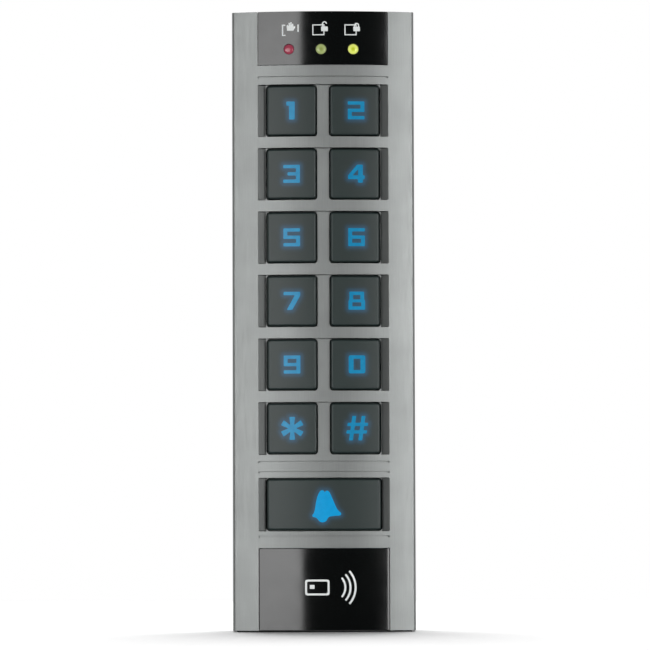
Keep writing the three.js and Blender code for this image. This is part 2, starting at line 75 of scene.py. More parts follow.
lens = bpy.data.cameras.new("catalogue_camera")
lens.lens = lens.sensor_width * camera_distance / frame_width
camera = bpy.data.objects.new("catalogue_camera", lens)
camera.location = (aim.x, case_low.y - camera_distance, case_low.z + camera_height)
camera.rotation_mode = "QUATERNION"
facing = (aim - camera.location).to_track_quat("-Z", "Y")
camera.rotation_quaternion = facing @ Quaternion((0, 0, 1), -math.radians(camera_roll))
scene.collection.objects.link(camera)
scene.camera = camera


# ---- Studio ---------------------------------------------------------------------------------------
# A sheet of white paper under the reader, its near edge just out of the picture, in a room that the
# camera sees as white. Two soft boxes stand left and right of the camera, with dark between them, and
# a third hangs behind. Places and sizes are in metres.
def linear(code, alpha=1.0):
    """An sRGB hex colour as linear red, green, blue and alpha."""
    parts = [int(code[i : i + 2], 16) / 255 for i in (1, 3, 5)]
    return [c / 12.92 if c <= 0.04045 else ((c + 0.055) / 1.055) ** 2.4 for c in parts] + [alpha]


def add_node(tree, kind, settings=None, links=None):
    """A shader node with its settings, by attribute or socket, and the outputs linked to its sockets."""
    made = tree.nodes.new(kind)
    for name, value in (settings or {}).items():
        if isinstance(name, str) and hasattr(made, name):
            setattr(made, name, value)
        else:
            made.inputs[name].default_value = value
    for name, source in (links or {}).items():
        tree.links.new(source, made.inputs[name])
    return made


def new_finish(name, colour, roughness, metallic=0.0, **more):
    """A material of one finish, with its node tree and its principled shader."""
    made = bpy.data.materials.new(name)
    made.use_nodes = True
    surface = made.node_tree.nodes["Principled BSDF"]
    settings = {"Base Color": linear(colour), "Roughness": roughness, "Metallic": metallic}
    for socket, value in {**settings, **more}.items():
        surface.inputs[socket].default_value = value
    return made, made.node_tree, surface


room = bpy.data.worlds.new("white_room")
room.use_nodes = True
scene.world = room
tree = room.node_tree
tree.nodes.clear()
# The room lights the reader from behind more than from the camera's side, and reflects the same way.
dim_side, bright_side = 0.05, 0.7
seen = add_node(tree, "ShaderNodeLightPath").outputs["Is Camera Ray"]
direction = add_node(tree, "ShaderNodeTexCoord").outputs["Generated"]
along = add_node(tree, "ShaderNodeSeparateXYZ", links={0: direction}).outputs[1]
behind = add_node(
    tree,
    "ShaderNodeMapRange",
    {"interpolation_type": "SMOOTHSTEP", 1: -0.5, 2: 0.25, 3: dim_side, 4: bright_side},
    {0: along},
).outputs[0]
strength = add_node(tree, "ShaderNodeMix", {"data_type": "FLOAT", 3: 1.0}, {0: seen, 2: behind})
air = add_node(tree, "ShaderNodeBackground", {0: linear("#ffffff")}, {1: strength.outputs[0]})
add_node(tree, "ShaderNodeOutputWorld", links={0: air.outputs[0]})

paper = bpy.data.meshes.new("paper")
paper_half, paper_front, paper_back = 0.5, case_low.y - 0.175, 0.45
paper.from_pydata(
    [
        (-paper_half, paper_front, case_low.z),
        (paper_half, paper_front, case_low.z),
        (paper_half, paper_back, case_low.z),
        (-paper_half, paper_back, case_low.z),
    ],
    [],
    [(0, 1, 2, 3)],
)
floor = bpy.data.objects.new("paper", paper)
scene.collection.objects.link(floor)
matt_paper, tree, surface = new_finish("matt_white_paper", "#f4f4f4", 0.9)
place = add_node(tree, "ShaderNodeTexCoord").outputs["Object"]
fibre_size = 0.4  # mm
fibres = add_node(tree, "ShaderNodeTexNoise", {"Scale": 1 / (fibre_size * MM), "Detail": 3.0}, {0: place})
pressed = add_node(
    tree, "ShaderNodeBump", {"Strength": 0.1, "Distance": 0.02 * MM}, {"Height": fibres.outputs[0]}
)
tree.links.new(pressed.outputs[0], surface.inputs["Normal"])
paper.materials.append(matt_paper)
floor.visible_glossy = False  # the reader's gloss mirrors the dark beyond the paper
floor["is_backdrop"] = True


def soft_box(name, place, target, width, height, radiance):
    """A rectangular light of even radiance that faces a point."""
    light = bpy.data.lights.new(name, "AREA")
    light.shape = "RECTANGLE"
    light.size, light.size_y = width, height
    light.energy = radiance * math.pi * width * height
    made = bpy.data.objects.new(name, light)
    made.location = place
    made.rotation_mode = "QUATERNION"
    made.rotation_quaternion = (Vector(target) - made.location).to_track_quat("-Z", "Y")
    made.visible_camera = False
    scene.collection.objects.link(made)


soft_box("left_soft_box", (-0.86, -1.65, 0.10), (-0.86, 0, 0.10), 1.30, 0.50, 4.2)
soft_box("right_soft_box", (1.22, -1.65, 0.10), (1.22, 0, 0.10), 1.08, 0.60, 6.5)
soft_box("rear_soft_box", (0, 0.55, 1.05), (0, -0.1, 0), 0.8, 0.9, 7.5)


# ---- Front cover ----------------------------------------------------------------------------------
# A bowed shell moulded in ABS, metal coated, brushed along its length and lacquered. The keys stand in
# sunken rows with sloping ends, and both ends have a seat for a glossy window. It hooks over two
# latches at the top, and one screw at the lower end holds it in its boss.
cover_low, cover_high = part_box("front_cover")
half_width = cover_high.x / MM
depth = -cover_low.y / MM
cover_bottom, cover_top = cover_low.z / MM, cover_high.z / MM
reveal = -cover_high.y / MM
bow_rise = 3.0
side_draft = 0.3
side_wall = 1.8
end_wall = 1.8
long_edge_round = 0.6
sunk_depth = 1.6
front_wall = 3.2
row_slope = 2.0
row_corner = 0.3
groove_width, groove_depth = 0.5, 0.8
opening_corner = 1.05
flange_reach = 0.9  # how far a key's flange reaches past its opening, behind the cover

bow_radius = (half_width**2 + bow_rise**2) / (2 * bow_rise)
bow_axis = bow_radius - depth
FLAT_FROM = 7.0  # what lies deeper than this doesn't follow the bow


def front_y(x, level):
    """The Y of the surface that lies level below the front and is parallel to its bow, in millimetres."""
    return bow_axis - math.sqrt((bow_radius - level) ** 2 - x * x)


def box_mm(node):
    """A CAD node's lowest and highest corners, in millimetres."""
    low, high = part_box(node)
    return low / MM, high / MM


def opening_of(node):
    """Centre x, centre z, width and height of the opening that a key stands in, in millimetres."""
    low, high = box_mm(node)
    x, z = (low.x + high.x) / 2, (low.z + high.z) / 2
    return x, z, high.x - low.x - 2 * flange_reach, high.z - low.z - 2 * flange_reach


def rounded_loop(width, height, corner, steps=6):
    """Points round a rectangle with round corners, counterclockwise seen from the front."""
    r = min(corner, 0.499 * width, 0.499 * height)
    points = []
    for quarter, (sx, sz) in enumerate([(1, 1), (-1, 1), (-1, -1), (1, -1)]):
        for i in range(steps + 1):
            turn = math.radians(90 * (quarter + i / steps))
            x = sx * (width / 2 - r) + r * math.cos(turn)
            z = sz * (height / 2 - r) + r * math.sin(turn)
            points.append((x, z))
    return points


def loft(bm, x, z, layers, steps=6):
    """A closed solid through rounded rectangles, each (width, height, corner, level), front to back."""
    rings = []
    for width, height, corner, level in layers:
        loop = rounded_loop(width, height, corner, steps)
        rings.append([bm.verts.new((x + px, level, z + pz)) for px, pz in loop])
    bm.faces.new(rings[0])
    for front, back in zip(rings, rings[1:]):
        for i in range(len(front)):
            j = (i + 1) % len(front)
            bm.faces.new((front[i], back[i], back[j], front[j]))
    bm.faces.new(list(reversed(rings[-1])))


def rod(bm, x, z, radius, front, back, steps=6):
    """A closed round bar from front to back."""
    loft(bm, x, z, [(2 * radius, 2 * radius, radius, level) for level in (front, back)], steps)


def block(bm, low, high):
    """A box between two corners."""
    for vertex in bmesh.ops.create_cube(bm, size=1)["verts"]:
        vertex.co = [(a + b) / 2 + c * (b - a) for a, b, c in zip(low, high, vertex.co)]


def new_object(name, bm):
    """The mesh as an object in the scene."""
    mesh = bpy.data.meshes.new(name)
    bmesh.ops.recalc_face_normals(bm, faces=bm.faces)
    bm.to_mesh(mesh)
    bm.free()
    made = bpy.data.objects.new(name, mesh)
    scene.collection.objects.link(made)
    return made


def carve(body, bm, how="DIFFERENCE"):
    """Cuts the solids in bm out of the body, a little past its surface, or joins them to it."""
    tool = new_object("tool", bm)
    step = body.modifiers.new("carve", "BOOLEAN")
    step.operation = how
    step.object = tool
    step.solver = "EXACT"
    step.use_self = True
    done = body.evaluated_get(bpy.context.evaluated_depsgraph_get())
    mesh = bpy.data.meshes.new_from_object(done)
    body.modifiers.clear()
    old, body.data = body.data, mesh
    bpy.data.meshes.remove(old)
    bpy.data.objects.remove(tool)


def soften(body, radius, segments, where, least=28):
    """Rounds the edges that where picks and that turn by more than the least angle."""
    bm = bmesh.new()
    bm.from_mesh(body.data)
    bmesh.ops.remove_doubles(bm, verts=bm.verts, dist=1e-4)
    edges = [
        edge
        for edge in bm.edges
        if len(edge.link_faces) == 2
        and edge.calc_face_angle(0) > math.radians(least)
        and where(*(v.co for v in edge.verts))
    ]
    bmesh.ops.bevel(
        bm,
        geom=edges,
        offset=radius,
        offset_type="OFFSET",
        segments=segments,
        profile=0.5,
        affect="EDGES",
        clamp_overlap=True,
    )
    bm.to_mesh(body.data)
    bm.free()


def slice_across(body, axis, low, high, pitch):
    """Cuts the mesh's faces at even places along an axis, so that they can follow a curve."""
    bm = bmesh.new()
    bm.from_mesh(body.data)
    count = max(1, round((high - low) / pitch))
    normal = Vector([float(i == axis) for i in range(3)])
    for i in range(1, count):
        at = normal * (low + (high - low) * i / count)
        everything = list(bm.verts) + list(bm.edges) + list(bm.faces)
        bmesh.ops.bisect_plane(bm, geom=everything, dist=1e-5, plane_co=at, plane_no=normal)
    bm.to_mesh(body.data)
    bm.free()


def bend(body):
    """Takes a mesh drawn flat, its Y the depth below the front, onto the bow, and from mm to metres."""
    for vertex in body.data.vertices:
        x, level, z = vertex.co
        y = level - depth if level > FLAT_FROM else front_y(x, level)
        vertex.co = (x * MM, y * MM, z * MM)
    body.data.update()


def smooth(body, sharp=35):
    """Shades the mesh smooth, with its flats kept flat and edges over the sharp angle kept crisp."""
    body.data.shade_smooth()
    body.data.set_sharp_from_angle(angle=math.radians(sharp))
    weight = body.modifiers.new("even_normals", "WEIGHTED_NORMAL")
    weight.keep_sharp = True


key_names = ["1", "2", "3", "4", "5", "6", "7", "8", "9", "0", "star", "hash", "bell"]
openings = {name: opening_of("key_" + name) for name in key_names}
upper_low, upper_high = box_mm("indicator_window")
lower_low, lower_high = box_mm("reader_window")
window_gap = 0.1
upper_strip, lower_strip = 2.8, 2.6
column_half = upper_high.x + window_gap
field_top = upper_low.z - window_gap - upper_strip
field_margin = field_top - (openings["1"][1] + openings["1"][3] / 2)
field_bottom = openings["star"][1] - openings["star"][3] / 2 - field_margin
bell_bottom = lower_high.z + window_gap + lower_strip
bell_top = 2 * openings["bell"][1] - bell_bottom

bm = bmesh.new()
block(bm, (-half_width, 0, cover_bottom), (half_width, depth - reveal, cover_top))
for vertex in bm.verts:
    if vertex.co.y == 0:
        vertex.co.x *= (half_width - side_draft) / half_width
cover = new_object("silver_cover", bm)
# Only the two long edges at the front.
soften(cover, long_edge_round, 6, lambda a, b: a.y < 1 and b.y < 1 and abs(a.z - b.z) > 1)

inner = half_width - side_wall
bm = bmesh.new()
block(bm, (-inner, front_wall, cover_bottom - 5), (inner, depth + 5, cover_top - end_wall))
carve(cover, bm)

# Bosses for the board's four screws, and a block for the cover's screw at the lower end.
boss_radius = 2.3
boss_root = 1.0  # how deep a boss is rooted in the front wall
boss_gap = 0.1  # between a boss and the board
block_start, block_past = 2.3, 0.6  # from the lower end, and past the screw's tip
screws = [box_mm(f"board_screw_{i}") for i in range(1, 5)]
boss_places = [((low.x + high.x) / 2, (low.z + high.z) / 2) for low, high in screws]
boss_back = box_mm("main_board")[0].y + depth - boss_gap
screw_low, screw_high = box_mm("cover_screw")
screw_level = (screw_low.y + screw_high.y) / 2 + depth
bm = bmesh.new()
for x, z in boss_places:
    rod(bm, x, z, boss_radius, front_wall - boss_root, boss_back)
block(
    bm,
    (-boss_radius, front_wall - boss_root, cover_bottom + block_start),
    (boss_radius, screw_level + boss_radius, screw_high.z + block_past),
)
carve(cover, bm, "UNION")

# The screws' bores, and the slots in the top wall for the two latches.
boss_bore, boss_floor = 1.1, 0.9  # its radius, and what it leaves behind the front wall
screw_bore, screw_bore_length, screw_bore_middle = 1.35, 6.4, 3.0  # its middle is below the tip
latch_x, latch_half, latch_level = 12.0, 3.7, depth - 1.9
slot_half, slot_depth = 0.5, 1.0
bm = bmesh.new()
for x, z in boss_places:
    rod(bm, x, z, boss_bore, front_wall + boss_floor, boss_back + 1)
bmesh.ops.create_cone(
    bm,
    cap_ends=True,
    segments=24,
    radius1=screw_bore,
    radius2=screw_bore,
    depth=screw_bore_length,
    matrix=Matrix.Translation((0, screw_level, screw_high.z - screw_bore_middle)),
)
wall_inside = cover_top - end_wall
for side in (-latch_x, latch_x):
    block(
        bm,
        (side - latch_half, latch_level - slot_half, wall_inside - slot_depth),
        (side + latch_half, latch_level + slot_half, wall_inside + slot_depth),
    )
carve(cover, bm)

# The sunken rows, the grooves above and below each group of keys, and the windows' seats.
proud = 0.5  # how far in front of the cover a row's cutting solid starts
flare = 2 * row_slope * proud / sunk_depth
bm = bmesh.new()
for name in ("1", "3", "5", "7", "9", "star", "bell"):
    _, z, _, height = openings[name]
    mouth = (2 * column_half + flare, height, row_corner, -proud)
    foot = (2 * column_half - 2 * row_slope, height, row_corner, sunk_depth)
    loft(bm, 0, z, [mouth, foot])
for low in (field_top - groove_width, field_bottom, bell_top - groove_width, bell_bottom):
    block(bm, (-column_half, -1, low), (column_half, groove_depth, low + groove_width))
seat_low, seat_high = upper_low.z - window_gap, lower_high.z + window_gap
block(bm, (-column_half, -1, seat_low), (column_half, sunk_depth, cover_top + 5))
block(bm, (-column_half, -1, cover_bottom - 5), (column_half, sunk_depth, seat_high))
carve(cover, bm)

# The openings for the keys and for the light pipes.
pipe_names = ["red", "green", "yellow"]
pipe_hole = 1.35
pipe_boxes = [box_mm("light_pipe_" + name) for name in pipe_names]
pipe_places = [((low.x + high.x) / 2, (low.z + high.z) / 2) for low, high in pipe_boxes]
bm = bmesh.new()
for x, z, width, height in openings.values():
    loft(bm, x, z, [(width, height, opening_corner, level) for level in (-2, front_wall + 2)])
for x, z in pipe_places:
    rod(bm, x, z, pipe_hole, -2, FLAT_FROM - 1)
carve(cover, bm)
edge_round = 0.1
rim_level = 20  # only the back rim lies deeper than this
soften(cover, edge_round, 2, lambda a, b: max(a.y, b.y) < front_wall + 0.5 or min(a.y, b.y) > rim_level)
bow_pitch = 1.0  # between the cuts that let the cover follow its bow
slice_across(cover, 0, -half_width, half_width, bow_pitch)
bend(cover)
smooth(cover)

# Brushed metal coat under clear lacquer: long fine streaks that spread the light across the cover.
brushed_coat, tree, surface = new_finish("brushed_metal_coat_on_abs", "#b0b3b2", 0.4, 1.0)
place = add_node(tree, "ShaderNodeTexCoord").outputs["Object"]
streak_width, streak_length = 0.16, 7.0  # mm; the real ones are finer, and would not show
blotch_size = 9  # mm
noise_low, noise_high = 0.3, 0.7  # nearly all of a noise texture's values lie between these
streaks = add_node(
    tree,
    "ShaderNodeMapping",
    {"Scale": (1 / (streak_width * MM), 1 / (streak_width * MM), 1 / (streak_length * MM))},
    {0: place},
).outputs[0]
brushing = add_node(tree, "ShaderNodeTexNoise", {"Scale": 1.0, "Detail": 3.0}, {0: streaks}).outputs[0]
blotches = add_node(
    tree, "ShaderNodeTexNoise", {"Scale": 1 / (blotch_size * MM), "Detail": 3.0}, {0: place}
).outputs[0]
streak_tone = add_node(
    tree,
    "ShaderNodeMix",
    {"data_type": "RGBA", 6: linear("#9b9e9d"), 7: linear("#b1b4b3")},
    {0: brushing},
).outputs[2]
tone = add_node(
    tree,
    "ShaderNodeMix",
    {"data_type": "RGBA", "blend_type": "MULTIPLY", 0: 0.25},
    {6: streak_tone, 7: blotches},
).outputs[2]
tree.links.new(tone, surface.inputs["Base Color"])
polish = add_node(
    tree, "ShaderNodeMapRange", {1: noise_low, 2: noise_high, 3: 0.41, 4: 0.49}, {0: brushing}
).outputs[0]
tree.links.new(polish, surface.inputs["Roughness"])
grooves = add_node(
    tree, "ShaderNodeBump", {"Strength": 0.3, "Distance": 0.02 * MM}, {"Height": brushing}
).outputs[0]
tree.links.new(grooves, surface.inputs["Normal"])
cover.data.materials.append(brushed_coat)
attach(cover, "case")
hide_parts("front_cover")


# ---- Windows --------------------------------------------------------------------------------------
# Two panes of black polycarbonate, bent to the cover's bow, hard coated and bedded flush in their
# seats. They run out to the ends of the case, and the upper one has holes for three light pipes.
pane_face = 0.03  # below the cover's front, which leaves room for the printed marks
pane_back = 1.5
pane_edge = 0.15
pane_pitch = 0.8
haze_size = 5  # mm

# Polished polycarbonate: a deep black that mirrors the soft boxes, with the faintest haze.
polished_black, tree, surface = new_finish("polished_black_polycarbonate", "#030606", 0.1, IOR=1.585)
place = add_node(tree, "ShaderNodeTexCoord").outputs["Object"]
haze = add_node(
    tree, "ShaderNodeTexNoise", {"Scale": 1 / (haze_size * MM), "Detail": 4.0}, {0: place}
).outputs[0]
gloss = add_node(
    tree, "ShaderNodeMapRange", {1: noise_low, 2: noise_high, 3: 0.09, 4: 0.12}, {0: haze}
).outputs[0]
tree.links.new(gloss, surface.inputs["Roughness"])
for node, low, high, holes in (
    ("indicator_window", upper_low, upper_high, pipe_places),
    ("reader_window", lower_low, lower_high, []),
):
    bm = bmesh.new()
    block(bm, (low.x, pane_face, low.z), (high.x, pane_back, high.z))
    pane = new_object(node.replace("window", "pane"), bm)
    if holes:
        bm = bmesh.new()
        for x, z in holes:
            rod(bm, x, z, pipe_hole, -1, 4)
        carve(pane, bm)
    soften(pane, pane_edge, 3, lambda a, b: max(a.y, b.y) < 0.5)
    slice_across(pane, 0, low.x, high.x, pane_pitch)
    bend(pane)
    smooth(pane)
    pane.data.materials.append(polished_black)
    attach(pane, "case")
    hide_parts(node)


# ---- Printed marks --------------------------------------------------------------------------------
# Small pictograms screen printed in white ink: a raised hand, an open and a closed padlock above the
# three lights, and on the lower window the place to hold a card, a card with waves. Outlines are drawn
# in millimetres, as x and z from the middle of the light or of the mark.
def eased(points, radius, steps=2):
    """The outline with its corners eased."""
    out = []
    for i, corner in enumerate(points):
        before, after = Vector(points[i - 1]), Vector(points[(i + 1) % len(points)])
        corner = Vector(corner)
        reach = min(radius, 0.45 * (before - corner).length, 0.45 * (after - corner).length)
        start = corner + (before - corner).normalized() * reach
        end = corner + (after - corner).normalized() * reach
        for k in range(steps + 1):
            t = k / steps
            out.append(tuple(start * (1 - t) ** 2 + corner * 2 * t * (1 - t) + end * t * t))
    return out


def box_outline(left, low, right, high):
    """The outline of a rectangle."""
    return [(left, low), (right, low), (right, high), (left, high)]


def arc_band(radius, width, start, end, steps=10):
    """The outline of part of a ring about the origin, its angles in degrees."""
    turns = [math.radians(start + (end - start) * i / steps) for i in range(steps + 1)]
    outside = [((radius + width / 2) * math.cos(a), (radius + width / 2) * math.sin(a)) for a in turns]
    inside = [((radius - width / 2) * math.cos(a), (radius - width / 2) * math.sin(a)) for a in turns]
    return outside + inside[::-1]


def moved(outline, dx, dz):
    """The outline, moved across and up."""
    return [(x + dx, z + dz) for x, z in outline]


def inlay(bm, outlines, front, back):
    """A closed thin plate of the first outline less the others, from one level to another."""
    loops = [[Vector((x, z, 0)) for x, z in outline] for outline in outlines]
    triangles = tessellate_polygon(loops)
    faces = []
    for level in (front, back):
        verts = [bm.verts.new((p.x, level, p.y)) for loop in loops for p in loop]
        for corners in triangles:
            bm.faces.new([verts[i] for i in corners])
        faces.append(verts)
    start = 0
    for loop in loops:
        for i in range(len(loop)):
            a, b = start + i, start + (i + 1) % len(loop)
            bm.faces.new((faces[0][a], faces[0][b], faces[1][b], faces[1][a]))
        start += len(loop)


line = 0.27  # the width of the box's lines
frame_outline = [
    box_outline(-2.2, 3.5, 0.9, 6.3),
    box_outline(-2.2 + line, 3.5 + line, 0.9 - line, 6.3 - line),
]
lock_body = [eased(box_outline(0.05, 4.55, 1.75, 5.75), 0.15)]
closed_bow = [
    moved(arc_band(0.5, 0.3, 0, 180), 0.9, 6.05),
    box_outline(0.25, 5.7, 0.55, 6.1),
    box_outline(1.25, 5.7, 1.55, 6.1),
]
open_bow = [moved(arc_band(0.5, 0.3, 0, 180), 0.9, 6.45), box_outline(0.25, 5.7, 0.55, 6.5)]
hand = [
    (-0.45, 4.75), (1.15, 4.75), (1.65, 5.6), (1.6, 5.95), (1.2, 5.75), (1.12, 6.55), (0.86, 6.55),
    (0.8, 5.95), (0.7, 6.95), (0.4, 6.95), (0.36, 5.95), (0.22, 6.8), (-0.06, 6.75), (-0.04, 5.9),
    (-0.3, 6.3), (-0.55, 6.15), (-0.5, 5.4),
]
left_bracket = [
    (-1.75, 6.3), (-0.85, 6.3), (-0.85, 6.03), (-1.45, 6.03), (-1.45, 3.7), (-0.85, 3.7), (-0.85, 3.4),
    (-1.75, 3.4),
]
right_bracket = [(2.2, 4.4), (2.55, 4.4), (2.55, 6.3), (2.2, 6.3)]
pictograms = [
    [[eased(hand, 0.12)], [left_bracket], [right_bracket]],
    [frame_outline, lock_body, [open_bow[0]], [open_bow[1]]],
    [frame_outline, lock_body, [closed_bow[0]], [closed_bow[1]], [closed_bow[2]]],
]
print_front, print_back = 0.012, 0.1  # the ink starts in the window, and stands just proud of it
ink_grain = 0.15  # mm
mark_pitch = 0.8

# Screen ink: dense, matt and slightly uneven in tone. Its tone is also painted on as a faint glow, though
# no lamp lights the marks.
white_ink_and_painted_glow, tree, surface = new_finish("screen_printed_white_ink", "#e2e5e4", 0.6)
place = add_node(tree, "ShaderNodeTexCoord").outputs["Object"]
mesh_marks = add_node(
    tree, "ShaderNodeTexNoise", {"Scale": 1 / (ink_grain * MM), "Detail": 2.0}, {0: place}
).outputs[0]
ink_tone_and_painted_glow = add_node(
    tree,
    "ShaderNodeMix",
    {"data_type": "RGBA", 6: linear("#cdd2d1"), 7: linear("#f2f4f3")},
    {0: mesh_marks},
).outputs[2]
tree.links.new(ink_tone_and_painted_glow, surface.inputs["Base Color"])
# Painted glow: the ink's tone also goes to emission, so the marks read brighter without a lamp.
tree.links.new(ink_tone_and_painted_glow, surface.inputs["Emission Color"])
surface.inputs["Emission Strength"].default_value = 0.25


def print_mark(name, shapes, x, z):
    """Prints outlines, each with its holes, on a window."""
    bm = bmesh.new()
    for outlines in shapes:
        inlay(bm, [moved(outline, x, z) for outline in outlines], print_front, print_back)
    made = new_object(name, bm)
    xs = [v.co.x for v in made.data.vertices]
    slice_across(made, 0, min(xs), max(xs), mark_pitch)
    bend(made)
    made.data.materials.append(white_ink_and_painted_glow)
    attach(made, "case")


for name, shapes, (x, z) in zip(pipe_names, pictograms, pipe_places):
    print_mark("mark_above_" + name, shapes, x, z)

card = [eased(box_outline(-3.1, -2.0, 3.1, 2.0), 0.6), eased(box_outline(-2.6, -1.5, 2.6, 1.5), 0.35)]
chip = box_outline(-1.9, -0.35, -0.7, 0.65)
waves = [[moved(arc_band(radius, 0.5, -42, 42), 0.9, 0)] for radius in (3.6, 4.9, 6.2)]
card_shift = -2.6
card_with_chip = [[moved(o, card_shift, 0) for o in card], [moved(chip, card_shift, 0)]]
mark_x, mark_z = 0.8, (lower_low.z + lower_high.z) / 2 + 0.5
print_mark("card_mark", card_with_chip + waves, mark_x, mark_z)


# ---- Status lights --------------------------------------------------------------------------------
# Three light pipes of tinted polycarbonate with domed ends, pressed into the cover from behind. Each
# stands over a lamp on the board, so its end glows, a little darker in the middle than at the rim.
pipe_radius = 1.25
collar_reach, collar_thickness = 0.8, 1.0
wall_gap = 0.3  # what stands behind the front wall keeps this far from it
collar_front = front_wall + wall_gap
collar_back = collar_front + collar_thickness
dome = [(0.45, 0.022), (0.8, 0.05), (1.05, 0.11), (1.2, 0.22), (pipe_radius, 0.4)]  # radius, level
glow_start, glow_full = 0.15, 0.8  # mm from the axis
pipe_tints = {  # the tint of the middle, that of the rim, and how strongly it glows
    "red": ("#8e1f37", "#a9586a", 0.5),
    "green": ("#7f8c48", "#b4c186", 0.65),
    "yellow": ("#a9b324", "#e6ec84", 0.85),
}
for name, (x, z), (_, high) in zip(pipe_names, pipe_places, pipe_boxes):
    core_tint, rim_tint, power = pipe_tints[name]
    steps_back = [
        (pipe_radius, collar_front),
        (pipe_radius + collar_reach, collar_front),
        (pipe_radius + collar_reach, collar_back),
        (pipe_radius, collar_back),
        (pipe_radius, high.y + depth),
    ]
    bm = bmesh.new()
    loft(bm, x, z, [(2 * r, 2 * r, r, level) for r, level in dome + steps_back], 8)
    pipe = new_object("light_pipe_lens_" + name, bm)
    bend(pipe)
    smooth(pipe, 50)

    # Tinted polycarbonate lit from behind: glossy, with its glow palest round the rim.
    tinted, tree, surface = new_finish("tinted_polycarbonate_" + name, rim_tint, 0.15, IOR=1.585)
    place = add_node(tree, "ShaderNodeTexCoord").outputs["Object"]
    from_middle = add_node(
        tree, "ShaderNodeVectorMath", {"operation": "SUBTRACT", 1: (x * MM, 0, z * MM)}, {0: place}
    ).outputs[0]
    from_axis = add_node(
        tree, "ShaderNodeVectorMath", {"operation": "MULTIPLY", 1: (1, 0, 1)}, {0: from_middle}
    ).outputs[0]
    reach = add_node(tree, "ShaderNodeVectorMath", {"operation": "LENGTH"}, {0: from_axis}).outputs[1]
    ring = add_node(
        tree,
        "ShaderNodeMapRange",
        {"interpolation_type": "SMOOTHSTEP", 1: glow_start * MM, 2: glow_full * MM},
        {0: reach},
    ).outputs[0]
    glow = add_node(
        tree,
        "ShaderNodeMix",
        {"data_type": "RGBA", 6: linear(core_tint), 7: linear(rim_tint)},
        {0: ring},
    ).outputs[2]
    tree.links.new(glow, surface.inputs["Emission Color"])
    surface.inputs["Emission Strength"].default_value = 0.7 * power
    surface.inputs["Base Color"].default_value = linear(core_tint)
    pipe.data.materials.append(tinted)
    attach(pipe, "case")
    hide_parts("light_pipe_" + name)


# ---- Key figures ----------------------------------------------------------------------------------
# The figures are clear windows moulded through each cap and backed by a blue diffuser, lit from the
# board. They are wide and square, with even strokes. Outlines are drawn in millimetres, as x and z from
# the middle of the key, and those after a figure's first are its holes.
w, h = 2.12, 2.3  # half the width and height of a figure
stem, bar, mid = 1.0, 0.86, 0.43  # an upright's width, a crossbar's, and half the middle bar's
two = [
    (-w, h), (w, h), (w, -mid), (stem - w, -mid), (stem - w, bar - h), (w, bar - h), (w, -h),
    (-w, -h), (-w, mid), (w - stem, mid), (w - stem, h - bar), (-w, h - bar),
]
three = [
    (-w, h), (w, h), (w, -h), (-w, -h), (-w, bar - h), (w - stem, bar - h), (w - stem, -mid),
    (1.1 - w, -mid), (1.1 - w, mid), (w - stem, mid), (w - stem, h - bar), (-w, h - bar),
]
six = [
    (w, h), (-w, h), (-w, -h), (w, -h), (w, mid), (stem - w, mid), (stem - w, h - bar), (w, h - bar),
]
six_hole = box_outline(stem - w, bar - h, w - stem, -mid)
eight = [
    (-w + 0.25, h), (w - 0.25, h), (w - 0.25, 0.3), (w, 0), (w, -h), (-w, -h), (-w, 0), (-w + 0.25, 0.3),
]
star = []
for k in range(6):
    turn = math.radians(90 - 60 * k)
    for out, aside in ((0.85, 0.5), (2.9, 0.72), (2.9, -0.72)):
        star_x = out * math.cos(turn) - aside * math.sin(turn)
        star_z = out * math.sin(turn) + aside * math.cos(turn)
        star.append((star_x, star_z))
hash_grid = [
    (-1.42, 3.1), (-0.58, 3.1), (-0.58, 1.37), (0.58, 1.37), (0.58, 3.1), (1.42, 3.1), (1.42, 1.37),
    (2.2, 1.37), (2.2, 0.53), (1.42, 0.53), (1.42, -0.53), (2.2, -0.53), (2.2, -1.37), (1.42, -1.37),
    (1.42, -3.1), (0.58, -3.1), (0.58, -1.37), (-0.58, -1.37), (-0.58, -3.1), (-1.42, -3.1),
    (-1.42, -1.37), (-2.2, -1.37), (-2.2, -0.53), (-1.42, -0.53), (-1.42, 0.53), (-2.2, 0.53),
    (-2.2, 1.37), (-1.42, 1.37),
]
hash_hole = box_outline(-0.58, -0.53, 0.58, 0.53)
hash_widen, hash_slant = 1.18, 0.14
bell = [
    (0.15, 3.0), (0.45, 3.45), (0.95, 3.5), (1.35, 3.1), (1.75, 2.3), (2.3, 1.0), (2.9, -0.4),
    (3.4, -1.4), (4.2, -2.1), (4.35, -2.6), (3.9, -2.85), (2.6, -2.9), (1.3, -3.1), (0.9, -3.5),
    (0.5, -4.3), (-0.3, -4.6), (-1.1, -4.45), (-1.6, -3.8), (-2.1, -3.3), (-2.9, -3.2),
    (-3.05, -2.7), (-2.6, -2.2), (-2.3, -1.0), (-2.1, 0.4), (-1.8, 1.8), (-1.4, 2.8), (-0.9, 3.5),
    (-0.4, 3.6), (0.0, 3.4),
]
ease = 0.22  # the radius of a stroke's corners
